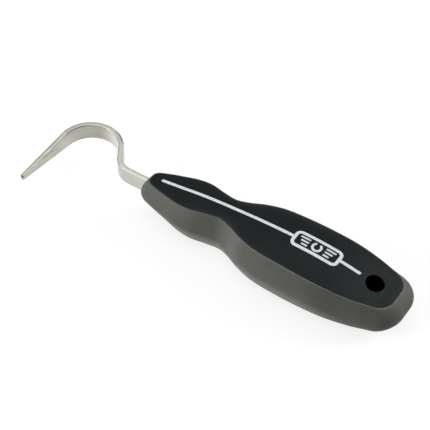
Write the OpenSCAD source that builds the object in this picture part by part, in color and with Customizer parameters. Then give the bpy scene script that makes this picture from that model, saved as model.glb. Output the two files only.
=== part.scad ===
// Hoof pick with a bent steel hook and a two-tone moulded handle.
// Each module is drawn with the handle's front edge at x = 0, its centre
// line along +X and its mid-plane at z = 0. in_frame() then moves it so
// that the origin lies under the middle of the whole tool.

/* [Handle] */
// Length of the black panels, front edge to rear edge
panel_len = 136; // [126:1:150]
// Half width at the front edge, before its corners are rounded
nose_half = 3.7; // [3.4:0.1:4.2]
// Half width at the bulge in front of the waist
finger_half = 9.8; // [8.8:0.1:10.6]
// Half width at the waist
waist_half = 7.3; // [6.6:0.1:8.2]
// Half width at the palm swell
palm_half = 16.2; // [15:0.1:18]
// Half width at the rear edge, before its corners are rounded
tail_half = 9.9; // [9.2:0.1:11]
// Height of the panel's edge above the mid-plane at the front
nose_high = 7.7; // [7.4:0.1:8.2]
// Height of the panel's edge above the mid-plane at the palm
palm_high = 12; // [11:0.1:13]
// Height of the panel's edge above the mid-plane at the rear
tail_high = 8.5; // [8.2:0.1:9.2]
// Rise of the panel's crown above its edge at the palm
palm_dome = 3.7; // [2.5:0.1:5]
// Depth of the underside as a share of the top's height
belly = 0.93; // [0.9:0.01:1]
// How far the grey side wall bulges past the panels, at the sides
side_bulge = 2.2; // [1.5:0.1:3.5]
// The same at the front end
nose_bulge = 4.5; // [2:0.1:5]
// The same at the rear end
tail_bulge = 5; // [3:0.1:6]
// Extra sideways bulge towards the front end
nose_shoulder = 1; // [0:0.1:2]
// Extra sideways bulge towards the rear end
tail_shoulder = 2.6; // [0:0.1:3.5]
// Share by which the rear bulge sits high and the front bulge sits low
lean = 0.46; // [0:0.02:0.5]
// Corner radius of the outline at the front edge
nose_r = 2.4; // [1.8:0.1:2.8]
// Corner radius of the outline at the rear edge
tail_r = 6.4; // [4:0.1:7]

/* [Panels] */
// Thickness of each black panel
panel_t = 1.8; // [1.4:0.1:2]
// Width of the grey rim left around each panel
rim = 0.35; // [0.25:0.05:0.6]
// How far the underside's crown is flattened, so that the tool lies still
rest_flat = 0.9; // [0.7:0.1:1.2]

/* [Hang hole] */
// Diameter of the hang hole
hole_d = 9; // [7:0.1:10]
// Distance of the hang hole from the front edge
hole_x = 123.7; // [120.7:0.5:124.2]
// Wall of the collar around the hang hole
collar_wall = 2.4; // [1.6:0.1:2.6]

/* [Hook] */
// Height of the steel strip, which stands on edge
strip_h = 9; // [7.6:0.1:9.6]
// Thickness of the strip
strip_t = 2.5; // [2:0.1:3]
// Break on the strip's long edges
strip_edge = 0.35; // [0.2:0.05:0.5]
// Straight shank in front of the handle
shank_len = 14; // [12:0.1:18]
// Centre-line radius of the small bend
small_r = 10.5; // [8:0.1:13]
// Turn of the small bend, in degrees
small_turn = 61.8; // [55:0.1:65]
// Straight stretch between the two bends
neck_len = 4.7; // [3:0.1:6]
// Centre-line radius of the hook's arch
arch_r = 15.8; // [14:0.1:18]
// Turn of the arch, in degrees
arch_turn = 148.6; // [145:0.1:152]
// Straight prong behind the arch
prong_len = 33.4; // [28:0.1:36]
// Height of the prong at its tip, where it tapers to
tip_h = 2.6; // [2.2:0.1:4.5]
// Thickness of the prong at its tip
tip_t = 1.7; // [1.4:0.1:2]
// Length of the tang inside the handle
tang_len = 62; // [50:1:70]
// Diameter of the tang's two anchoring holes
anchor_d = 4; // [3:0.5:5]

/* [Printed marks] */
// Width of the printed centre line
line_w = 1.6; // [1:0.1:2.2]
// Start of the centre line, from the front edge
line_start = 6.2; // [5:0.2:12]
// Front end of the badge
badge_start = 80.2; // [75:0.1:81]
// Length of the badge
badge_len = 25.1; // [22:0.1:27]
// Width of the badge
badge_w = 9.8; // [9:0.1:11]
// Corner radius of the badge
badge_r = 3; // [2.4:0.1:4]
// Width of the badge's border
border_w = 1.6; // [1:0.1:2]
// Length of the line behind the badge
rear_line_len = 10.8; // [6:0.1:11]
// Thickness of the print
ink_t = 0.12; // [0.1:0.02:0.3]

/* [Hidden] */

// Core and collar inside the handle
core_wall = 3.2;
core_half_t = 5;
boss_half = tail_high * belly - 1.1;
hole_r = hole_d / 2;
collar_r = hole_r + collar_wall;

// Half width, edge height and dome at stations along the panel's length.
// Each row is [share of the length, value].
width_at = [
    [0, nose_half], [0.06, nose_half + 2.7], [0.1, nose_half + 4.1],
    [0.155, finger_half - 0.3], [0.21, finger_half], [0.27, waist_half + 0.9],
    [0.325, waist_half], [0.375, waist_half + 1.9], [0.425, palm_half - 4],
    [0.49, palm_half - 1.5], [0.58, palm_half - 0.4], [0.685, palm_half],
    [0.785, palm_half - 0.4], [0.875, palm_half - 2], [0.94, tail_half + 2.1],
    [1, tail_half]
];
edge_at = [
    [0, nose_high], [0.12, nose_high + 1.7], [0.23, palm_high - 1.1], [0.36, palm_high - 0.3],
    [0.5, palm_high], [0.64, palm_high - 0.25], [0.77, tail_high + 2.5],
    [0.875, tail_high + 1.3], [1, tail_high]
];
dome_at = [
    [0, 0.3], [0.12, 1], [0.23, 1.8], [0.36, palm_dome * 0.7], [0.5, palm_dome * 0.9],
    [0.66, palm_dome], [0.77, palm_dome * 0.8], [0.875, 1.5], [0.95, 0.6], [1, 0.3]
];

// Smooth curve through a table of [position, value] rows
function slope(t, i) =
    let (a = t[max(i - 1, 0)], b = t[min(i + 1, len(t) - 1)])
    (b[1] - a[1]) / (b[0] - a[0]);
function span(t, s, i = 0) = i >= len(t) - 2 || s < t[i + 1][0] ? i : span(t, s, i + 1);
function through(t, s) =
    let (
        i = span(t, s), a = t[i], b = t[i + 1], h = b[0] - a[0], u = (s - a[0]) / h,
        c = b[1] - a[1], m = slope(t, i) * h - c, n = c - slope(t, i + 1) * h
    )
    a[1] + u * c + u * (1 - u) * ((1 - u) * m + u * n);

function share(x) = min(max(x / panel_len, 0), 1);
function half_width(x) = through(width_at, share(x));

// How much a rounded corner takes off the half width, e past the edge
function corner(e, r) = e >= r ? 0 : r - sqrt(r * r - (r - e) * (r - e));
function outline_half(x, inset) =
    half_width(x) - inset - corner(x - inset, nose_r) - corner(panel_len - inset - x, tail_r);

// Smooth step from 0 to 1
function ease(t) = let (u = min(max(t, 0), 1)) u * u * (3 - 2 * u);

// Height of the panel's crown above the mid-plane
function crown(x, y) =
    through(edge_at, share(x))
    + through(dome_at, share(x)) * (1 - pow(min(abs(y) / half_width(x), 1), 2.4));

// Stations along the length: close together at the corners
corner_steps = 6;
body_steps = 34;
function stations(inset) = [
    for (k = [0 : corner_steps]) inset + nose_r * (1 - cos(90 * k / corner_steps)),
    for (k = [1 : body_steps - 1])
        inset + nose_r + (panel_len - 2 * inset - nose_r - tail_r) * k / body_steps,
    for (k = [corner_steps : -1 : 0])
        panel_len - inset - tail_r * (1 - cos(90 * k / corner_steps))
];
rows = 2 * corner_steps + body_steps;
cols = 10;

// Plan points: rows along the length, columns from one side to the other
function plan(inset) = [
    for (x = stations(inset)) [
        for (j = [0 : cols]) [x, outline_half(x, inset) * cos(180 * j / cols)]
    ]
];
// Grid places around the edge, in order, starting at the front on the +Y side
edge = concat(
    [for (i = [0 : rows]) [i, 0]], [for (j = [1 : cols - 1]) [rows, j]],
    [for (i = [rows : -1 : 0]) [i, cols]], [for (j = [cols - 1 : -1 : 1]) [0, j]]
);
n_edge = len(edge);

// The top (side 1) follows the crown; the underside (side -1) is a little
// shallower, and its middle is flattened
function fall(side) = side > 0 ? side : side * belly;
function skin_z(side, p) = max(fall(side) * crown(p[0], p[1]), -rest_depth);
// One grid laid on either of them
function sheet(grid, side, lift) =
    [for (r = grid) for (p = r) [p[0], p[1], skin_z(side, p) + side * lift]];
function cell(i, j) = i * (cols + 1) + j;
function sheet_faces(start, up) = [
    for (i = [0 : rows - 1]) for (j = [0 : cols - 1])
        let (a = start + cell(i, j), b = start + cell(i + 1, j),
             c = start + cell(i + 1, j + 1), d = start + cell(i, j + 1))
        each up ? [[a, b, c], [a, c, d]] : [[a, c, b], [a, d, c]]
];
// Walls join one closed ring of point numbers to the next
function wall_faces(p, q) = [
    for (k = [0 : n_edge - 1])
        let (m = (k + 1) % n_edge)
        each [[p[k], q[k], q[m]], [p[k], q[m], p[m]]]
];
function edge_ids(start) = [for (e = edge) start + cell(e[0], e[1])];

// A skin of even thickness that follows the crown, between two lifts
module crown_skin(side, low, high, inset) {
    grid = plan(inset);
    n = (rows + 1) * (cols + 1);
    flip = side > 0;
    ring_high = edge_ids(0);
    ring_low = edge_ids(n);
    polyhedron(
        points = concat(sheet(grid, side, high), sheet(grid, side, low)),
        faces = concat(
            sheet_faces(0, flip), sheet_faces(n, !flip),
            flip ? wall_faces(ring_low, ring_high) : wall_faces(ring_high, ring_low)
        )
    );
}

// The grey body: side wall, rims and the beds for both panels
wall_levels = [1, 0.8, 0.55, 0.28, 0, -0.28, -0.55, -0.8, -1];
function side_ring(level) =
    let (outer = plan(0), ring = [for (e = edge) outer[e[0]][e[1]]])
    [for (k = [0 : n_edge - 1])
        let (
            p = ring[k], q = ring[(k + 1) % n_edge], o = ring[(k + n_edge - 1) % n_edge],
            t = q - o, n = [-t[1], t[0]] / norm(t),
            out = n * (1 - level * level) * (1 + lean * n[0] * level),
            end_bulge = n[0] < 0 ? nose_bulge : tail_bulge,
            shoulder = nose_shoulder * ease(1 - p[0] / 14)
                + tail_shoulder * ease((p[0] - panel_len + 21) / 25)
        )
        [
            p[0] + end_bulge * out[0], p[1] + (side_bulge + shoulder) * out[1],
            fall(level) * crown(p[0], p[1])
        ]
    ];
module grey_body() {
    bed = plan(rim);
    n = (rows + 1) * (cols + 1);
    top_bed = 0;
    low_bed = n;
    rim_top = 2 * n;
    walls = 2 * n + n_edge;
    rim_low = walls + len(wall_levels) * n_edge;
    function ring(start) = [for (k = [0 : n_edge - 1]) start + k];
    function lip(side) = [
        for (e = edge) let (p = bed[e[0]][e[1]]) [p[0], p[1], fall(side) * crown(p[0], p[1])]
    ];
    chain = concat(
        [edge_ids(top_bed), ring(rim_top)],
        [for (w = [0 : len(wall_levels) - 1]) ring(walls + w * n_edge)],
        [ring(rim_low), edge_ids(low_bed)]
    );
    polyhedron(
        points = concat(
            sheet(bed, 1, -panel_t), sheet(bed, -1, -panel_t), lip(1),
            [for (v = wall_levels) each side_ring(v)], lip(-1)
        ),
        faces = concat(
            sheet_faces(top_bed, true), sheet_faces(low_bed, false),
            [for (c = [0 : len(chain) - 2]) each wall_faces(chain[c + 1], chain[c])]
        )
    );
}

// Hook centre line in plan: headings are measured from -X towards +Y
function heading(a) = [-cos(a), sin(a)];
neck_at = [-shank_len, 0] + small_r * [-sin(small_turn), 1 - cos(small_turn)];
arch_at = neck_at + neck_len * heading(small_turn);
arch_mid = arch_at - arch_r * [sin(small_turn), cos(small_turn)];
prong_turn = small_turn - arch_turn;
prong_at = arch_mid + arch_r * [sin(prong_turn), cos(prong_turn)];
tip_at = prong_at + prong_len * heading(prong_turn);

// The tool's box, for the frame
x_min = tip_at[0] - tip_t / 2;
rest_depth = belly * max([for (x = stations(rim)) crown(x, 0)]) - rest_flat;
x_max = panel_len + tail_bulge;
y_max = max(arch_mid[1] + arch_r + strip_t / 2, palm_half + side_bulge);
y_min = min(tip_at[1], -palm_half - side_bulge);
module in_frame() {
    translate([-(x_min + x_max) / 2, -(y_min + y_max) / 2, rest_depth]) children();
}

// Corners of the strip's cross-section, for a thickness and a height
function strip_corners(t, h) =
    let (a = t / 2, b = h / 2, e = strip_edge)
    [
        [a, b - e], [a - e, b], [-a + e, b], [-a, b - e],
        [-a, -b + e], [-a + e, -b], [a - e, -b], [a, -b + e]
    ];
// Stations from the tang's end to the tip: [place, heading, thickness, height]
small_steps = 14;
arch_steps = 34;
strip_path = concat(
    [for (x = [tang_len, -shank_len]) [[x, 0], 0, strip_t, strip_h]],
    [
        for (k = [1 : small_steps]) let (a = small_turn * k / small_steps)
            [[-shank_len, 0] + small_r * [-sin(a), 1 - cos(a)], a, strip_t, strip_h]
    ],
    [
        for (k = [0 : arch_steps]) let (a = small_turn - arch_turn * k / arch_steps)
            [arch_mid + arch_r * [sin(a), cos(a)], a, strip_t, strip_h]
    ],
    // the prong tapers to a blunt tip, both in height and in thickness
    [
        [tip_at - 0.6 * heading(prong_turn), prong_turn, tip_t, tip_h],
        [tip_at, prong_turn, tip_t - 0.6, tip_h - 1]
    ]
);
module bent_strip() {
    n = 8;
    last = len(strip_path) - 1;
    polyhedron(
        points = [
            for (s = strip_path) for (c = strip_corners(s[2], s[3]))
                [s[0][0] + c[0] * sin(s[1]), s[0][1] + c[0] * cos(s[1]), c[1]]
        ],
        faces = concat(
            [[for (k = [0 : n - 1]) k]],
            [
                for (i = [0 : last - 1]) for (k = [0 : n - 1])
                    let (a = n * i + k, b = n * i + (k + 1) % n)
                    each [[a, a + n, b + n], [a, b + n, b]]
            ],
            [[for (k = [n - 1 : -1 : 0]) n * last + k]]
        )
    );
}
// A straight piece of the strip along +X, from x = 0
module straight_strip(length) {
    rotate([90, 0, 90]) linear_extrude(length) polygon(strip_corners(strip_t, strip_h));
}
module anchor_holes() {
    for (x = [tang_len - 10, tang_len - 28])
        translate([x, 0, 0]) rotate([90, 0, 0])
            cylinder(d = anchor_d, h = 20, center = true, $fn = 48);
}

module pick_hook() {
    color([0.76, 0.74, 0.70]) in_frame() difference() {
        bent_strip();
        anchor_holes();
    }
}

// Hard black core round the tang, with a boss that holds the hang hole
module core_plan() {
    front = 8;
    rear = panel_len - 5;
    steps = 28;
    xs = [for (k = [0 : steps]) front + (rear - front) * k / steps];
    polygon(concat(
        [for (x = xs) [x, half_width(x) - core_wall]],
        [for (k = [steps : -1 : 0]) [xs[k], core_wall - half_width(xs[k])]]
    ));
}
module core_body() {
    linear_extrude(2 * core_half_t, center = true) core_plan();
    translate([hole_x, 0, 0])
        cylinder(r = collar_r, h = 2 * boss_half, center = true, $fn = 64);
}
module hang_hole() {
    translate([hole_x, 0, 0]) cylinder(r = hole_r, h = 60, center = true, $fn = 64);
}
module handle_core() {
    color([0.10, 0.10, 0.11]) in_frame() difference() {
        core_body();
        difference() {
            straight_strip(tang_len);
            anchor_holes();
        }
        hang_hole();
    }
}

// Grey side moulding: everything between the panels and the core
module grip_shell() {
    color([0.42, 0.41, 0.38]) in_frame() difference() {
        grey_body();
        core_body();
        translate([-8, 0, 0]) straight_strip(16);
        translate([hole_x, 0, 0]) cylinder(r = collar_r, h = 60, center = true, $fn = 64);
    }
}

// Black panel with a collar that runs down to the core's boss
module panel(side) {
    difference() {
        union() {
            crown_skin(side, -panel_t, 0, rim);
            collar_h = abs(fall(side)) * crown(hole_x, 0) - panel_t / 2 - boss_half;
            translate([hole_x, 0, side * (boss_half + collar_h / 2)])
                cylinder(r = collar_r, h = collar_h, center = true, $fn = 64);
        }
        hang_hole();
    }
}
module top_panel() {
    color([0.13, 0.15, 0.16]) in_frame() panel(1);
}
module bottom_panel() {
    color([0.13, 0.15, 0.16]) in_frame() panel(-1);
}

// Printed marks: flat shapes laid on the top panel's crown
module printed() {
    intersection() {
        crown_skin(1, 0, ink_t, rim);
        linear_extrude(40) children();
    }
}
module bar(x, y, length, width) {
    translate([x, y - width / 2]) square([length, width]);
}
module rounded(length, width, r) {
    bar(r, 0, length - 2 * r, width);
    bar(0, 0, length, width - 2 * r);
    for (x = [r, length - r]) for (y = [r - width / 2, width / 2 - r])
        translate([x, y]) circle(r, $fn = 40);
}
module line_front() {
    color([0.84, 0.85, 0.87]) in_frame() printed()
        bar(line_start, 0, badge_start - line_start, line_w);
}
module line_rear() {
    color([0.84, 0.85, 0.87]) in_frame() printed()
        bar(badge_start + badge_len, 0, rear_line_len, line_w);
}
module badge_frame() {
    color([0.84, 0.85, 0.87]) in_frame() printed() difference() {
        translate([badge_start, 0]) rounded(badge_len, badge_w, badge_r);
        translate([badge_start + border_w, 0])
            rounded(badge_len - 2 * border_w, badge_w - 2 * border_w, badge_r - border_w);
    }
}

// Plain farrier's mark: a horseshoe between two wings of three bars
module badge_mark() {
    mid = badge_start + badge_len / 2;
    color([0.84, 0.85, 0.87]) in_frame() printed() {
        difference() {
            translate([mid, 0]) circle(2.7, $fn = 48);
            translate([mid, 0]) circle(1.5, $fn = 48);
            bar(mid - 0.9, 2, 1.8, 3);
        }
        for (side = [-1, 1]) for (k = [0 : 2])
            translate([mid + side * 4.2, 1.9 - 1.9 * k]) scale([side, 1])
                bar(0, 0, 5.2 - k, 0.9);
    }
}

pick_hook();
handle_core();
grip_shell();
top_panel();
bottom_panel();
line_front();
line_rear();
badge_frame();
badge_mark();
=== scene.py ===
import bmesh
import bpy
import math
import numpy as np
from mathutils import Matrix, Vector
from mathutils.geometry import delaunay_2d_cdt


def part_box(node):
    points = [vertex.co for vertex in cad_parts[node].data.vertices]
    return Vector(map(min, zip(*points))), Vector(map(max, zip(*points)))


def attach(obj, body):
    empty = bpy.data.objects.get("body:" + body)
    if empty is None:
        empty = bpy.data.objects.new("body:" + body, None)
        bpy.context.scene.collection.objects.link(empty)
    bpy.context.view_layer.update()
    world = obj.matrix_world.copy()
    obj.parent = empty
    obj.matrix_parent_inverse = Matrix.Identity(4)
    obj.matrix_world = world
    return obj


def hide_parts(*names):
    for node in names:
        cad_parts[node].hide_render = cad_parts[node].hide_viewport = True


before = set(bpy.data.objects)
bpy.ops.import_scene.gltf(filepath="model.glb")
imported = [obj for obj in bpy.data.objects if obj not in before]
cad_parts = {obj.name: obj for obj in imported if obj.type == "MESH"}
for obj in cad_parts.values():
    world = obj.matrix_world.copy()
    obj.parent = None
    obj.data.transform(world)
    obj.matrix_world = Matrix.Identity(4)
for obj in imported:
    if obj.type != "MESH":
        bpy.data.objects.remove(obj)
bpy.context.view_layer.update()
MM = 0.001

# ---------------------------------------------------------------- shape
# All shapes are worked out in millimetres in the handle's own frame: front
# edge of the panels at x = 0, centre line along +X, mid-plane at z = 0.
LENGTH, RIM, PANEL_T, BELLY = 136.0, 0.35, 1.8, 0.93
# The side and rear bulges are a hair under the CAD's: this denser mesh stays in its box.
SIDE_BULGE, NOSE_BULGE, TAIL_BULGE = 2.195, 4.5, 4.96
NOSE_SHOULDER, TAIL_SHOULDER = 1.0, 2.6
NOSE_R, TAIL_R, LEAN = 2.4, 6.4, 0.46
HOLE_X, HOLE_R, BOSS = 123.7, 4.5, 6.805
STRIP_H, STRIP_T = 9.0, 2.5
SHANK, SMALL_R, SMALL_TURN, NECK = 14.0, 10.5, 61.8, 4.7
ARCH_R, ARCH_TURN, PRONG = 15.8, 148.6, 33.4
TIP_H, TIP_T, TIP_ROUND, TANG = 2.6, 1.7, 0.9, 62.0
# The seat in the grip for the panels' collars, and the print on the upper panel.
SEAT_R, SEAT_TOP, SEAT_LOW = 6.9, 8.0, 7.2
LINE_W, LONG_LINE, SHORT_LINE, PRINT_T = 1.6, (6.2, 80.4), (105.1, 116.1), 0.11
BADGE_X, BADGE_LEN, BADGE_W, BADGE_R, BORDER = 80.2, 25.1, 9.8, 3.0, 1.6
# Marks on the hook, measured along the strip from the tang's end. The arch runs from
# 92 to 133 and the prong from there to 166.
DARK_PATCH_AT, CROOK_AT, BEND_AT, EDGE_SHADE_AT, SLANT_LINE_AT = 99.5, 101.0, 118.0, 128.0, 147.0
# Spacing of mesh points round the outline, over the panels and along the print.
OUTLINE_STEP, SKIN_STEP, PRINT_STEP = 1.25, 1.3, 0.8
# The camera stands this far round, up and away from a point over the middle of the
# handle, and is then moved to its own left and up, which brings the whole tool in.
AROUND, UP, AWAY, LENS = math.radians(33.5), math.radians(48.6), 700.0, 126.3
MIDDLE, TO_RIGHT, TO_BELOW = (68, 0, 15.3), -26.03, -4.59

panel_lo, panel_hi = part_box("top_panel")
hook_lo, hook_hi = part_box("pick_hook")
ORIGIN = np.array([
    panel_lo.x / MM - RIM,
    (panel_lo.y + panel_hi.y) / 2 / MM,
    (hook_lo.z + hook_hi.z) / 2 / MM,
])

WIDTH = [
    (0, 3.7), (0.06, 6.4), (0.1, 7.8), (0.155, 9.5), (0.21, 9.8), (0.27, 8.2), (0.325, 7.3),
    (0.375, 9.2), (0.425, 12.2), (0.49, 14.7), (0.58, 15.8), (0.685, 16.2), (0.785, 15.8),
    (0.875, 14.2), (0.94, 12.0), (1, 9.9),
]
EDGE = [
    (0, 7.7), (0.12, 9.4), (0.23, 10.9), (0.36, 11.7), (0.5, 12), (0.64, 11.75), (0.77, 11),
    (0.875, 9.8), (1, 8.5),
]
DOME = [
    (0, 0.3), (0.12, 1), (0.23, 1.8), (0.36, 2.59), (0.5, 3.33), (0.66, 3.7), (0.77, 2.96),
    (0.875, 1.5), (0.95, 0.6), (1, 0.3),
]


def curve(table, x):
    """Smooth curve through a table of (share of the length, value)."""
    t = np.array(table, float)
    s = np.clip(np.asarray(x, float) / LENGTH, 0, 1)
    i = np.clip(np.searchsorted(t[:, 0], s, side="right") - 1, 0, len(t) - 2)
    ends = np.arange(len(t))
    a, b = t[np.maximum(ends - 1, 0)], t[np.minimum(ends + 1, len(t) - 1)]
    slope = (b[:, 1] - a[:, 1]) / (b[:, 0] - a[:, 0])
    h = t[i + 1, 0] - t[i, 0]
    u = (s - t[i, 0]) / h
    c = t[i + 1, 1] - t[i, 1]
    m, n = slope[i] * h - c, c - slope[i + 1] * h
    return t[i, 1] + u * c + u * (1 - u) * ((1 - u) * m + u * n)


def ease(t):
    """Smooth step from 0 to 1."""
    t = np.clip(t, 0, 1)
    return t * t * (3 - 2 * t)


def crown(x, y):
    """Height of the top panel's surface above the mid-plane."""
    across = np.minimum(np.abs(y) / curve(WIDTH, x), 1)
    return curve(EDGE, x) + curve(DOME, x) * (1 - across ** 2.4)


def outline(inset):
    """Closed ring in plan, from the front edge round the +Y side, the rear and back."""
    def corner(e, r):
        e = np.clip(e, 0, r)
        return r - np.sqrt(r * r - (r - e) ** 2)

    turn = np.radians(np.linspace(0, 90, 11))
    body = np.arange(inset + NOSE_R, LENGTH - inset - TAIL_R, OUTLINE_STEP)[1:]
    xs = np.concatenate([
        inset + NOSE_R * (1 - np.cos(turn)), body,
        (LENGTH - inset - TAIL_R * (1 - np.cos(turn)))[::-1],
    ])
    half = (
        curve(WIDTH, xs) - inset - corner(xs - inset, NOSE_R)
        - corner(LENGTH - inset - xs, TAIL_R)
    )
    side = np.stack([xs, half], 1)
    rear = np.stack([np.full(13, xs[-1]), np.linspace(half[-1], -half[-1], 15)[1:-1]], 1)
    front = np.stack([np.full(7, xs[0]), np.linspace(-half[0], half[0], 9)[1:-1]], 1)
    return np.concatenate([side, rear, side[::-1] * [1, -1], front])


def normals(ring):
    """Outward unit normals of a closed clockwise ring."""
    t = np.roll(ring, -1, 0) - np.roll(ring, 1, 0)
    n = np.stack([-t[:, 1], t[:, 0]], 1)
    return n / np.linalg.norm(n, axis=1)[:, None]


# ---------------------------------------------------------------- meshes
def build(name, points, faces, node, material, smooth=True, data=None):
    """A piece from handle-frame millimetres that stands for a CAD node."""
    mesh = bpy.data.meshes.new(name)
    world = (np.asarray(points, float) + ORIGIN) * MM
    mesh.from_pydata(world.tolist(), [], [list(f) for f in faces])
    mesh.validate()
    solid = bmesh.new()
    solid.from_mesh(mesh)
    bmesh.ops.recalc_face_normals(solid, faces=solid.faces)
    solid.to_mesh(mesh)
    solid.free()
    for key, values in (data or {}).items():
        values = np.asarray(values, np.float32)
        kind = "FLOAT" if values.ndim == 1 else "FLOAT_VECTOR"
        layer = mesh.attributes.new(key, kind, "POINT")
        layer.data.foreach_set("value" if kind == "FLOAT" else "vector", values.ravel())
    mesh.polygons.foreach_set("use_smooth", [smooth] * len(mesh.polygons))
    mesh.materials.append(material)
    piece = bpy.data.objects.new(name, mesh)
    bpy.context.scene.collection.objects.link(piece)
    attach(piece, "root")
    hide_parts(node)
    return piece


def rings_to_faces(count, rings, start=0):
    """Quads between consecutive rings of the same number of points."""
    faces = []
    for r in range(rings - 1):
        for k in range(count):
            a, b = start + r * count + k, start + r * count + (k + 1) % count
            faces.append((a, b, b + count, a + count))
    return faces


def between(loops, extra=()):
    """Triangles that fill the plan between an outer loop and the hole loops in it.
    Points are numbered through the loops and then through the extra points."""
    flat = np.concatenate([*loops, *extra])
    edges, start = [], 0
    for loop in loops:
        edges += [(start + k, start + (k + 1) % len(loop)) for k in range(len(loop))]
        start += len(loop)
    tris = delaunay_2d_cdt([Vector(p) for p in flat], edges, [], 0, 1e-6)[2]

    def inside(loop, c):
        x, y = np.append(loop[:, 0], loop[0, 0]), np.append(loop[:, 1], loop[0, 1])
        crosses = ((y[:-1] > c[1]) != (y[1:] > c[1])) & (
            c[0] < (x[1:] - x[:-1]) * (c[1] - y[:-1]) / (y[1:] - y[:-1] + 1e-12) + x[:-1])
        return crosses.sum() % 2 == 1

    kept = []
    for tri in tris:
        c = flat[list(tri)].mean(0)
        if inside(loops[0], c) and not any(inside(hole, c) for hole in loops[1:]):
            kept.append(tuple(tri))
    return kept


# ---------------------------------------------------------------- materials
class Nodes:
    """Small helper for building node materials."""

    def __init__(self, name, **values):
        self.mat = bpy.data.materials.new(name)
        self.mat.use_nodes = True
        self.tree = self.mat.node_tree
        self.bsdf = self.tree.nodes["Principled BSDF"]
        for key, value in values.items():
            self.bsdf.inputs[key.replace("_", " ")].default_value = value

    def add(self, kind, inputs=(), **props):
        n = self.tree.nodes.new("ShaderNode" + kind)
        for key, value in props.items():
            setattr(n, key, value)
        for key, value in dict(inputs).items():
            if isinstance(value, bpy.types.NodeSocket):
                self.tree.links.new(value, n.inputs[key])
            else:
                n.inputs[key].default_value = value
        return n

    def place(self):
        """Object coordinates in millimetres."""
        return self.stretch(self.add("TexCoord").outputs["Object"], (1 / MM, 1 / MM, 1 / MM))

    def noise(self, vector, scale, detail=3.0, rough=0.5):
        n = self.add("TexNoise", {"Vector": vector, "Scale": scale, "Detail": detail,
                                  "Roughness": rough})
        return n.outputs["Fac"]

    def remap(self, value, lo, hi, out_lo, out_hi):
        n = self.add("MapRange", {0: value, 1: lo, 2: hi, 3: out_lo, 4: out_hi})
        return n.outputs["Result"]

    def mix(self, fac, a, b):
        n = self.add("Mix", data_type="RGBA")
        for i, v in ((0, fac), (6, a), (7, b)):
            if isinstance(v, bpy.types.NodeSocket):
                self.tree.links.new(v, n.inputs[i])
            else:
                n.inputs[i].default_value = v
        return n.outputs[2]

    def math(self, op, a, b=0.0, c=0.0):
        return self.add("Math", {0: a, 1: b, 2: c}, operation=op).outputs[0]

    def times(self, a, b):
        return self.math("MULTIPLY", a, b)

    def near(self, value, at, full, gone, amount=1):
        """The amount while value is within full of a place, down to 0 at gone."""
        off = self.math("ABSOLUTE", self.math("SUBTRACT", value, at))
        return self.remap(off, full, gone, amount, 0)

    def stretch(self, vector, scale):
        return self.add("Mapping", {"Vector": vector, "Scale": scale}).outputs["Vector"]

    def attribute(self, name, output="Fac"):
        return self.add("Attribute", attribute_name=name).outputs[output]

    def bump(self, height, strength, distance, normal=None):
        put = {"Height": height, "Strength": strength, "Distance": distance * MM}
        if normal is not None:
            put["Normal"] = normal
        return self.add("Bump", put).outputs["Normal"]

    def to(self, key, value):
        self.tree.links.new(value, self.bsdf.inputs[key])


# near black: painted shade on the grip's lower lip and rear sides, and the hook's dull blunt
# end
NEAR_BLACK = (0.012, 0.012, 0.011, 1)


def soft_plastic(name, base, pale, dust, wear_and_light_pale, rough, gloss):
    """Moulded soft-touch plastic: eggshell grain, faint mottling, paler rubbed edges.
    The mesh says where it is paler from wear and painted light (mostly at edges), where more
    painted light makes it paler, and where painted shade darkens it."""
    m = Nodes(name, Specular_IOR_Level=gloss)
    p = m.place()
    cloud = m.noise(p, 0.06, 4)
    fine = m.noise(p, 1.1, 3, 0.6)
    color = m.mix(m.remap(cloud, 0.35, 0.68, 0, 1), base, pale)
    specks = m.remap(m.noise(p, 0.9, 6, 0.7), 0.66, 0.8, 0, 0.55)
    color = m.mix(specks, color, dust)
    # paler edges: partly wear, partly painted light (the grip's upper lip, the rear of the
    # panels)
    worn = m.times(m.attribute("wear_and_painted_light"), m.remap(m.noise(p, 0.35, 4, 0.6), 0.3, 0.7, 0.25, 1))
    color = m.mix(worn, color, wear_and_light_pale)
    # painted light: a paler band low on the grip's side wall and a painted highlight behind the
    # waist
    color = m.mix(m.attribute("painted_light"), color, wear_and_light_pale)
    # painted shade: dark at the grip's lower lip and on its rear sides
    color = m.mix(m.attribute("painted_shade"), color, NEAR_BLACK)
    m.to("Base Color", color)
    shine = m.remap(fine, 0.3, 0.7, rough - 0.05, rough + 0.06)
    m.to("Roughness", m.math("SUBTRACT", shine, m.times(worn, 0.12)))
    grain = m.add("TexVoronoi", {"Vector": p, "Scale": 2.6}).outputs["Distance"]
    n = m.bump(grain, 0.16, 0.05)
    m.to("Normal", m.bump(m.noise(p, 5.0, 3, 0.6), 0.22, 0.05, n))
    return m.mat


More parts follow.
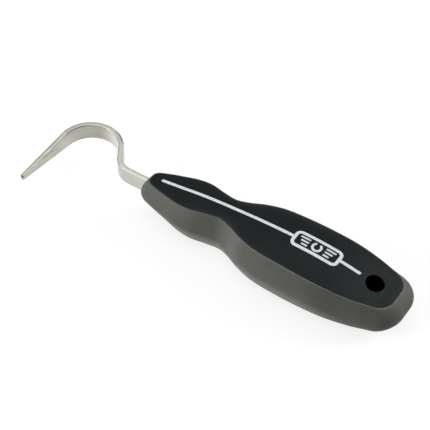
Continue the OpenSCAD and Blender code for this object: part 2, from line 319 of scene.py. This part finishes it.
def hook_marks(m, color, wear_and_painted_light, lie):
    """The strip's colour with marks laid over it: painted highlight, reflection and shade,
    partly ground narrow faces, dark lines and the blunt end.
    """
    run, up, across = m.add("SeparateXYZ", {"Vector": lie}).outputs

    # painted highlight on the crook's inner side, painted reflection brightening the shank,
    # painted shade darkening the bend
    crook = m.times(m.near(run, CROOK_AT, 4, 12, 0.42), m.remap(across, -1.1, -0.5, 1, 0))
    color = m.mix(crook, color, (0.90, 0.90, 0.86, 1))
    color = m.mix(m.remap(run, 99, 112, 0.15, 0), color, (0.84, 0.835, 0.77, 1))
    color = m.mix(m.near(run, BEND_AT, 5, 15, 0.45), color, (0.33, 0.322, 0.285, 1))

    # brighter narrow faces, partly ground finish and partly painted reflection, with a darker
    # patch on the crook's outer side
    ground = m.attribute("ground")
    bright = m.times(ground, m.remap(run, 124, 140, 0.75, 0.2))
    color = m.mix(bright, color, (0.80, 0.795, 0.715, 1))
    dark_patch = m.times(m.near(run, DARK_PATCH_AT, 1.5, 5.5, 0.8), m.remap(across, -0.2, 0.8, 0, 1))
    color = m.mix(m.times(dark_patch, ground), color, (0.15, 0.147, 0.13, 1))

    # painted shade along the edges, darkest where the arch runs into the prong
    uneven = m.remap(m.noise(m.place(), 0.22, 4, 0.6), 0.35, 0.62, 0.55, 1)
    color = m.mix(m.times(wear_and_painted_light, uneven), color, (0.17, 0.165, 0.15, 1))
    inner = m.remap(across, -0.75, -0.5, 1, 0)
    inner_edge_shade = m.times(m.near(run, EDGE_SHADE_AT, 5, 10), m.times(wear_and_painted_light, inner))
    color = m.mix(inner_edge_shade, color, (0.03, 0.029, 0.026, 1))

    # a slanting dark line that runs out on the prong, and the dull blunt end
    line = m.near(up, m.math("MULTIPLY_ADD", run, 0.1, -13.1), 0.12, 0.36)
    reach = m.times(m.near(run, SLANT_LINE_AT, 3, 7.5, 0.8), inner)
    color = m.mix(m.times(line, reach), color, (0.09, 0.088, 0.08, 1))
    return m.mix(m.attribute("blunt"), color, NEAR_BLACK)


def steel():
    """Satin nickel-grey strip with lengthwise brushing, bands, pits, marks and painted light
    and shade.
    The attribute lie holds each point's place along, up and across the strip."""
    m = Nodes("satin_steel", Metallic=1.0, Specular_IOR_Level=0.5)
    lie, wear_and_painted_light = m.attribute("lie", "Vector"), m.attribute("wear_and_painted_light")
    p = m.place()
    brush = m.noise(m.stretch(lie, (0.05, 3.2, 3.2)), 1.0, 5, 0.65)
    bands = m.noise(m.stretch(lie, (0.04, 1.1, 1.1)), 1.0, 3)
    cloud = m.noise(p, 0.11, 4, 0.6)
    color = m.mix(m.remap(cloud, 0.35, 0.65, 0, 1), (0.442, 0.434, 0.379, 1),
                  (0.595, 0.588, 0.528, 1))
    color = m.mix(m.remap(brush, 0.35, 0.75, 0, 0.40), color, (0.40, 0.39, 0.34, 1))
    color = m.mix(m.remap(bands, 0.40, 0.66, 0, 0.45), color, (0.36, 0.352, 0.318, 1))
    pits = m.remap(m.noise(p, 1.7, 5, 0.75), 0.68, 0.76, 0, 0.8)
    color = m.mix(pits, color, (0.24, 0.22, 0.20, 1))
    m.to("Base Color", hook_marks(m, color, wear_and_painted_light, lie))
    rough = m.remap(brush, 0.3, 0.7, 0.30, 0.44)
    rough = m.math("ADD", rough, m.remap(bands, 0.3, 0.7, -0.05, 0.06))
    m.to("Roughness", m.math("SUBTRACT", rough, m.times(wear_and_painted_light, 0.02)))
    n = m.bump(brush, 0.18, 0.04)
    m.to("Normal", m.bump(m.noise(p, 0.35, 3), 0.10, 0.25, n))
    return m.mat


def print_ink():
    """Silver-white printed ink: satin, slightly uneven cover, tiny pinholes."""
    m = Nodes("silver_print", Specular_IOR_Level=0.5)
    p = m.place()
    cover = m.noise(p, 0.8, 4, 0.6)
    color = m.mix(m.remap(cover, 0.3, 0.7, 0, 1), (0.36, 0.374, 0.392, 1),
                  (0.46, 0.474, 0.494, 1))
    holes = m.remap(m.noise(p, 4.5, 3, 0.7), 0.70, 0.76, 0, 0.6)
    m.to("Base Color", m.mix(holes, color, (0.25, 0.26, 0.27, 1)))
    m.to("Roughness", m.remap(cover, 0.3, 0.7, 0.42, 0.56))
    m.to("Normal", m.bump(m.noise(p, 3.5, 4, 0.6), 0.15, 0.05))
    return m.mat


def core_hole_shade():
    """Hard black moulding seen only inside the hang hole, made near black and without shine as
    painted shade there; the panels' hole walls take it too.
    """
    m = Nodes("hole_shade_black", Specular_IOR_Level=0.0)
    p = m.place()
    streak = m.noise(m.stretch(p, (1, 1, 0.06)), 2.4, 3)
    m.to("Base Color", m.mix(m.remap(streak, 0.3, 0.7, 0, 1), (0.0010, 0.0012, 0.0014, 1),
                             (0.0025, 0.0028, 0.0030, 1)))
    m.to("Roughness", m.remap(streak, 0.3, 0.7, 0.7, 0.9))
    m.to("Normal", m.bump(streak, 0.2, 0.06))
    return m.mat


GREY = soft_plastic(
    "grey_grip", base=(0.046, 0.048, 0.0405, 1), pale=(0.060, 0.062, 0.0535, 1),
    dust=(0.105, 0.106, 0.094, 1), wear_and_light_pale=(0.125, 0.127, 0.114, 1), rough=0.60, gloss=0.18)
BLACK = soft_plastic(
    "black_panel", base=(0.0038, 0.0057, 0.0062, 1), pale=(0.0058, 0.0080, 0.0086, 1),
    dust=(0.014, 0.017, 0.018, 1), wear_and_light_pale=(0.018, 0.022, 0.023, 1), rough=0.56, gloss=0.105)
STEEL, INK, CORE_HOLE_SHADE = steel(), print_ink(), core_hole_shade()


# ---------------------------------------------------------------- grey grip
def grip_marks(along, n):
    """How strong each mark is at each point of the outline."""
    seam = np.interp(along, [40, 85], [0.2, 0.8])  # towards the rear: the upper lip paler (wear and painted highlight), the lower lip darker (painted shade)
    # painted light: the paler band low on the side wall stands in for light bounced up from the
    # floor
    band = np.interp(along, [60, 85, 108, 118, 131], [0.95, 0.85, 0.75, 0.3, 0.05])
    waist_highlight = 0.27 * np.exp(-(((along - 56.5) / 5.5) ** 2))  # painted highlight behind the waist
    rear_shade = 0.28 * ease((along - 90) / 24) * (1 - ease(n[:, 0] * 1.6))  # painted shade on the rear sides
    return seam, band, waist_highlight, rear_shade


def grip_shell():
    """Bulging side wall between two lips, with a bed for each panel."""
    ring = outline(0)
    along, n = ring[:, 0], normals(ring)
    base = crown(along, ring[:, 1])
    end = np.where(n[:, 0] < 0, NOSE_BULGE, TAIL_BULGE)
    shoulder = (NOSE_SHOULDER * ease(1 - along / 14)
                + TAIL_SHOULDER * ease((along - LENGTH + 21) / 25))
    seam, band, waist_highlight, rear_shade = grip_marks(along, n)
    lip = 0.16
    points, wear_and_painted_light, painted_light, painted_shade = [], [], [], []

    def level(v, inset=0.0, drop=0.0, worn=0.0, dark=0.0):
        """One ring round the grip, from v = 1 at the top edge to -1 at the bottom."""
        out = n * ((1 - v * v) * (1 + LEAN * n[:, 0] * v))[:, None]
        x = along + end * out[:, 0] - inset * n[:, 0]
        y = ring[:, 1] + (SIDE_BULGE + shoulder) * out[:, 1] - inset * n[:, 1]
        side = 1 if v >= 0 else BELLY
        z = side * v * base - math.copysign(drop, v)
        points.append(np.stack([x, y, z], 1))
        wear_and_painted_light.append(worn * seam)
        painted_light.append(np.maximum(band * np.clip((-v - 0.2) / 0.5, 0, 1), waist_highlight))
        painted_shade.append(np.maximum(dark * seam, rear_shade))

    def rounded(v, degrees, **marks):
        """One ring of a lip's rounding."""
        t = math.radians(degrees)
        level(v, lip * (1 - math.cos(t)), lip * (1 - math.sin(t)) + 0.02, **marks)

    # bed, lip, side wall, lip, bed
    bed = ((RIM, PANEL_T), (RIM, 0.12), (RIM - 0.04, 0.05))
    for inset, drop in bed:
        level(1, inset, drop)
    # the upper lip and the top of the wall: paler, partly wear and partly painted highlight
    for a in (75, 45, 15):
        rounded(1, a, worn=0.9)
    for v in (*np.linspace(0.985, 0.94, 3), *np.linspace(0.9, -0.9, 36)):
        level(v, worn=max(0.0, (v - 0.94) / 0.045) * 0.5)
    # the lower lip is darkened with painted shade
    for v, dark in ((-0.92, 0), (-0.935, 1), (-0.985, 1.2)):
        level(v, dark=dark)
    for a in (15, 45, 75):
        rounded(-1, a, dark=1.2)
    for inset, drop in reversed(bed):
        level(-1, inset, drop)
    count, rings = len(ring), len(points)
    faces = rings_to_faces(count, rings)

    # the floor of each bed, round the seat for the panels' collars, and the seat's wall
    angle = -np.radians(np.arange(0, 360, 10))
    seat = np.array([HOLE_X, 0]) + SEAT_R * np.stack([np.cos(angle), np.sin(angle)], 1)
    first, around = rings * count, len(seat)
    for side, z, bed_ring in ((1, SEAT_TOP, 0), (-1, -SEAT_LOW, rings - 1)):
        points.append(np.column_stack([seat, np.full(around, z)]))
        for values in (wear_and_painted_light, painted_light, painted_shade):
            values.append(np.zeros(around))
        rim_at, seat_at = bed_ring * count, first + (0 if side > 0 else around)
        for tri in between([points[bed_ring][:, :2], seat]):
            face = [rim_at + i if i < count else seat_at + i - count for i in tri]
            faces.append(tuple(face if side < 0 else reversed(face)))
    faces += [tuple(reversed(f)) for f in rings_to_faces(around, 2, start=first)]
    build("grip_body", np.concatenate(points), faces, "grip_shell", GREY,
          data={"wear_and_painted_light": np.concatenate(wear_and_painted_light), "painted_light": np.concatenate(painted_light),
                "painted_shade": np.concatenate(painted_shade)})


# ---------------------------------------------------------------- panels
def skin_grid(rim_loop, hub, mouth):
    """A staggered grid of plan points inside the rim and clear of the hang hole."""
    clear = 0.7
    grid = np.array([(x, y) for k, x in enumerate(np.arange(2, LENGTH - 1, SKIN_STEP))
                     for y in np.arange(-17, 17.01, SKIN_STEP) + (k % 2) * SKIN_STEP / 2])
    far = len(rim_loop) // 2
    half = np.interp(grid[:, 0], rim_loop[:far, 0], rim_loop[:far, 1])
    near = np.min(np.linalg.norm(grid[:, None] - rim_loop[None], axis=2), axis=1)
    away = np.linalg.norm(grid - hub, axis=1) - mouth
    return grid[(np.abs(grid[:, 1]) < half) & (near > clear) & (away > clear)]


def panel(side, name, node):
    """Crowned skin with a rounded edge and a rounded hang-hole mouth, made paler at the rear
    with painted light.
    """
    edge_r, mouth_r = 0.35, 0.5
    fall = 1.0 if side > 0 else BELLY
    ring = outline(RIM + 0.03)
    n = normals(ring)
    hub, angle = np.array([HOLE_X, 0.0]), -np.radians(np.arange(0, 360, 6))
    circle = np.stack([np.cos(angle), np.sin(angle)], 1)
    points, wear_and_painted_light = [], []
    count, around = len(ring), len(circle)

    def put(xy, drop, worn):
        """Plan points on the crown, lowered by drop."""
        z = fall * crown(xy[:, 0], xy[:, 1])
        if side < 0:
            z = np.minimum(z, ORIGIN[2])  # the underside's crown is flattened
        points.append(np.column_stack([xy, side * (z - drop)]))
        # paler towards the rear: painted light
        wear_and_painted_light.append(np.maximum(worn, 0.5 * ease((xy[:, 0] - 98) / 34)))

    # outer wall and rounded edge
    put(ring, PANEL_T, 0)
    put(ring, edge_r + 0.1, 0)
    for a in (15, 35, 55, 75, 90):
        t = math.radians(a)
        put(ring - n * edge_r * (1 - math.cos(t)), edge_r * (1 - math.sin(t)),
            0.3 if a in (35, 55, 75) else 0.1)
    rim_loop = points[-1][:, :2]
    faces = rings_to_faces(count, len(points))
    inner = len(points) * count

    # hang hole: wall, then rounded mouth
    points.append(np.column_stack([hub + circle * HOLE_R, np.full(around, side * BOSS)]))
    wear_and_painted_light.append(np.zeros(around))
    for a in (0, 15, 30, 45, 60, 75, 90):
        t = math.radians(a)
        put(hub + circle * (HOLE_R + mouth_r * (1 - math.cos(t))), mouth_r * (1 - math.sin(t)),
            0.15 if 20 < a < 80 else 0.0)
    hole_loop = points[-1][:, :2]
    first_wall = len(faces)
    faces += [tuple(reversed(f)) for f in rings_to_faces(around, 8, start=inner)]
    last = inner + 7 * around

    # skin between the edge and the mouth
    grid = skin_grid(rim_loop, hub, HOLE_R + mouth_r)
    put(grid, 0, 0)
    place = [*range(inner - count, inner), *range(last, last + around + len(grid))]
    for tri in between([rim_loop, hole_loop], [grid]):
        faces.append(tuple(place[i] for i in tri))

    # underneath, hidden in the grip
    for tri in between([ring, hub + circle * HOLE_R]):
        faces.append(tuple(i if i < count else inner + i - count for i in reversed(tri)))
    if side < 0:
        faces = [tuple(reversed(f)) for f in faces]
    piece = build(name, np.concatenate(points), faces, node, BLACK,
                  data={"wear_and_painted_light": np.concatenate(wear_and_painted_light)})
    # the hole's wall and the start of its mouth take the core's near-black material: painted
    # shade in the hang hole
    piece.data.materials.append(CORE_HOLE_SHADE)
    for k in range(first_wall, first_wall + 3 * around):
        piece.data.polygons[k].material_index = 1


# ---------------------------------------------------------------- print
def ribbon(path, width, closed=False):
    """A printed band of even width along a plan path, laid on the crown."""
    path = np.asarray(path, float)
    blunt = 0.2 * width  # how much an open end's corners are rounded off
    if closed:
        t = np.roll(path, -1, 0) - np.roll(path, 1, 0)
    else:
        step = [path[1] - path[0], path[-2] - path[-1]]
        step = [blunt * s / np.linalg.norm(s) for s in step]
        path = np.concatenate([path[:1], [path[0] + step[0]], path[1:-1],
                               [path[-1] + step[1]], path[-1:]])
        t = np.gradient(path, axis=0)
    t /= np.linalg.norm(t, axis=1)[:, None]
    n = np.stack([-t[:, 1], t[:, 0]], 1)
    h = width / 2
    narrow = np.zeros(len(path))
    if not closed:
        narrow[[0, -1]] = blunt
    cross = [(-h, -0.06), (-h, 0.05), (-h + 0.07, PRINT_T), (-h / 3, PRINT_T),
             (h / 3, PRINT_T), (h - 0.07, PRINT_T), (h, 0.05), (h, -0.06)]
    points = []
    for u, lift in cross:
        q = path + n * (u * (1 - narrow / h))[:, None]
        points.append(np.column_stack([q, crown(q[:, 0], q[:, 1]) + lift]))
    rows, around = len(path), len(cross)
    faces = []
    for i in range(rows if closed else rows - 1):
        j = (i + 1) % rows
        for c in range(around):
            d = (c + 1) % around
            faces.append((i * around + c, i * around + d, j * around + d, j * around + c))
    if not closed:
        faces.append(tuple(range(around - 1, -1, -1)))
        faces.append(tuple((rows - 1) * around + c for c in range(around)))
    return np.stack(points, 1).reshape(-1, 3), [tuple(reversed(f)) for f in faces]


def printed(name, node, bands):
    """One piece from a list of ribbons."""
    points, faces, start = [], [], 0
    for pts, fs in bands:
        points.append(pts)
        faces += [tuple(start + i for i in f) for f in fs]
        start += len(pts)
    build(name, np.concatenate(points), faces, node, INK, smooth=False)


def straight(x0, x1, y=0.0):
    """Points along a line parallel to the centre line."""
    xs = np.linspace(x0, x1, max(3, int((x1 - x0) / PRINT_STEP)))
    return np.stack([xs, np.full(len(xs), y)], 1)


def badge():
    """The badge's rounded border and the generic mark in it."""
    h = BORDER / 2
    x0, x1 = BADGE_X + h, BADGE_X + BADGE_LEN - h
    y1, rr = BADGE_W / 2 - h, BADGE_R - h
    path = []
    for cx, cy, a0 in ((x1 - rr, y1 - rr, 0), (x0 + rr, y1 - rr, 90),
                       (x0 + rr, -y1 + rr, 180), (x1 - rr, -y1 + rr, 270)):
        for a in np.radians(np.linspace(a0, a0 + 90, 10)):
            path.append((cx + rr * math.cos(a), cy + rr * math.sin(a)))
    dense = []
    for p, q in zip(path, path[1:] + path[:1]):
        steps = max(1, int(math.dist(p, q) / PRINT_STEP))
        dense += [(p[0] + (q[0] - p[0]) * k / steps, p[1] + (q[1] - p[1]) * k / steps)
                  for k in range(steps)]
    printed("badge_border", "badge_frame", [ribbon(dense, BORDER, closed=True)])

    # a farrier's horseshoe between two wings of three bars
    mid = BADGE_X + BADGE_LEN / 2
    arc = np.radians(np.linspace(116, 424, 44))
    bands = [ribbon([(mid + 2.1 * math.cos(a), 2.1 * math.sin(a)) for a in arc], 1.2)]
    for side in (-1, 1):
        for k in range(3):
            ends = sorted((mid + side * 4.2, mid + side * (9.4 - k)))
            bands.append(ribbon(straight(*ends, 1.9 - 1.9 * k), 0.9))
    printed("badge_emblem", "badge_mark", bands)


# ---------------------------------------------------------------- hook
def hook_stations():
    """Places along the hook: point in plan, the turn there, thickness, height."""
    def heading(a):
        return np.array([-math.cos(a), math.sin(a)])

    def small_bend(a):
        return np.array([-SHANK, 0]) + SMALL_R * np.array([-math.sin(a), 1 - math.cos(a)])

    def arch(a):
        return mid + ARCH_R * np.array([math.sin(a), math.cos(a)])

    turn = math.radians(SMALL_TURN)
    last = turn - math.radians(ARCH_TURN)
    neck = small_bend(turn)
    mid = neck + NECK * heading(turn) - ARCH_R * np.array([math.sin(turn), math.cos(turn)])
    tang_and_shank = [*np.arange(TANG, 1, -6.0), *np.arange(1, -SHANK - 0.01, -1.25)]
    plan = [(np.array([x, 0.0]), 0.0) for x in tang_and_shank]
    plan += [(small_bend(a), a) for a in np.linspace(0, turn, 27)[1:]]
    plan += [(neck + s * heading(turn), turn) for s in np.linspace(0, NECK, 5)[1:-1]]
    plan += [(arch(a), a) for a in np.linspace(turn, last, 61)]
    stations = [(p, a, STRIP_T, STRIP_H) for p, a in plan]

    # the prong tapers evenly and ends in a rounded tip
    prong = PRONG - TIP_ROUND
    for s in np.linspace(0, prong, 29)[1:]:
        u = s / (PRONG - 0.6)
        stations.append((arch(last) + s * heading(last), last,
                         STRIP_T + (TIP_T - STRIP_T) * u, STRIP_H + (TIP_H - STRIP_H) * u))
    for degrees in (20, 40, 60, 78):
        t = math.radians(degrees)
        c = 1 - 0.75 * (1 - math.cos(t))
        stations.append((arch(last) + (prong + 0.88 * math.sin(t)) * heading(last), last,
                         TIP_T * c, (TIP_H + 0.02) * c))
    return stations


def section(t, h):
    """Points round the strip: across, up, how strongly the edge is marked (painted shade,
    slightly smoother), and if on a narrow face.
    """
    r = min(0.24, 0.2 * t)
    a, b = t / 2 - r, h / 2 - r
    points = []
    for cx, cy, a0 in ((a, b, 0), (-a, b, 90), (-a, -b, 180), (a, -b, 270)):
        for k in range(6):
            g = math.radians(a0 + 18 * k)
            points.append((cx + r * math.cos(g), cy + r * math.sin(g),
                           0.9 if 0 < k < 5 else 0.2, float(abs(math.sin(g)) > 0.99)))
        if a0 in (90, 270):  # broad faces get points for even shading
            s = 1 if a0 == 90 else -1
            for w in (0.75, 0.5, 0.25, 0, -0.25, -0.5, -0.75):
                points.append((cx - s * r, s * b * w, 0.0, 0.0))
    return points


def hook():
    """Flat steel strip on edge, bent into a shank, an arch and a tapering prong."""
    stations = hook_stations()
    points, lie, wear_and_painted_light, ground, blunt = [], [], [], [], []
    run, before = 0.0, stations[0][0]
    for p, a, t, h in stations:
        run += float(np.linalg.norm(p - before))
        before = p
        at_tip = t < 0.97 * TIP_T
        for across, up, edge_mark, narrow in section(t, h):
            points.append((p[0] + across * math.sin(a), p[1] + across * math.cos(a), up))
            lie.append((run, up, across))
            wear_and_painted_light.append(edge_mark)
            ground.append(narrow)
            blunt.append((0.9 if up > 0.6 else 0.2) if at_tip else 0.0)
    count, end = len(section(STRIP_T, STRIP_H)), len(points)
    faces = [tuple(reversed(f)) for f in rings_to_faces(count, len(stations))]
    faces.append(tuple(range(count)))
    faces.append(tuple(reversed(range(end - count, end))))
    build("steel_hook", points, faces, "pick_hook", STEEL,
          data={"wear_and_painted_light": wear_and_painted_light, "lie": lie, "ground": ground, "blunt": blunt})


grip_shell()
panel(1, "upper_panel", "top_panel")
panel(-1, "lower_panel", "bottom_panel")
printed("stripe_long", "line_front", [ribbon(straight(*LONG_LINE), LINE_W)])
printed("stripe_short", "line_rear", [ribbon(straight(*SHORT_LINE), LINE_W)])
badge()
hook()
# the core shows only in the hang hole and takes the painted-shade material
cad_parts["handle_core"].data.materials.clear()
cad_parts["handle_core"].data.materials.append(CORE_HOLE_SHADE)


# ---------------------------------------------------------------- stage
def floor():
    """A pale floor just under the tool, bright enough to melt into the background."""
    mesh = bpy.data.meshes.new("floor")
    s, z = 40.0, -0.0003
    mesh.from_pydata([(-s, -s, z), (s, -s, z), (s, s, z), (-s, s, z)], [], [(0, 1, 2, 3)])
    m = Nodes("pale_floor", Roughness=0.9, Specular_IOR_Level=0.0, Emission_Strength=0.75,
              Emission_Color=(1, 1, 1, 1))
    p = m.place()
    m.to("Base Color", m.mix(m.noise(p, 0.01, 2), (0.18, 0.18, 0.18, 1), (0.20, 0.20, 0.20, 1)))
    mesh.materials.append(m.mat)
    plane = bpy.data.objects.new("floor", mesh)
    bpy.context.scene.collection.objects.link(plane)


# Lamps are placed and sized in metres, and all aim at one point in the tool.
LAMPS_AIM = (0.02, 0, 0.01)


def softbox(name, at, size, power):
    """A white rectangular lamp."""
    light = bpy.data.lights.new(name, "AREA")
    light.shape = "RECTANGLE"
    light.size, light.size_y = size
    light.energy = power
    lamp = bpy.data.objects.new(name, light)
    lamp.location = at
    lamp.rotation_mode = "QUATERNION"
    lamp.rotation_quaternion = (Vector(LAMPS_AIM) - Vector(at)).to_track_quat("-Z", "Y")
    bpy.context.scene.collection.objects.link(lamp)


floor()
softbox("ceiling", (0.0, 0.0, 1.3), (1.6, 1.6), 15.5)
softbox("front_left", (-0.9, -0.95, 0.5), (1.0, 0.6), 30)
softbox("rear_right", (0.9, 0.9, 0.6), (1.0, 0.7), 25)
softbox("rear", (-0.5, 1.0, 1.0), (1.2, 1.2), 2)

world = bpy.data.worlds.new("studio")
world.use_nodes = True
world.node_tree.nodes["Background"].inputs["Color"].default_value = (1, 1, 1, 1)
world.node_tree.nodes["Background"].inputs["Strength"].default_value = 0.02
bpy.context.scene.world = world

# ---------------------------------------------------------------- camera
right = Vector((math.cos(AROUND), math.sin(AROUND), 0))
back = Vector((math.sin(AROUND) * math.cos(UP), -math.cos(AROUND) * math.cos(UP), math.sin(UP)))
down = right.cross(back)
aim = Vector(ORIGIN) + Vector(MIDDLE)
eye = (aim + AWAY * back + TO_RIGHT * right + TO_BELOW * down) * MM
camera = bpy.data.objects.new("camera", bpy.data.cameras.new("camera"))
camera.data.lens, camera.data.sensor_width = LENS, 36
camera.matrix_world = Matrix((
    (right.x, -down.x, back.x, eye.x),
    (right.y, -down.y, back.y, eye.y),
    (right.z, -down.z, back.z, eye.z),
    (0, 0, 0, 1),
))
bpy.context.scene.collection.objects.link(camera)
bpy.context.scene.camera = camera
bpy.context.scene.view_settings.view_transform = "Standard"
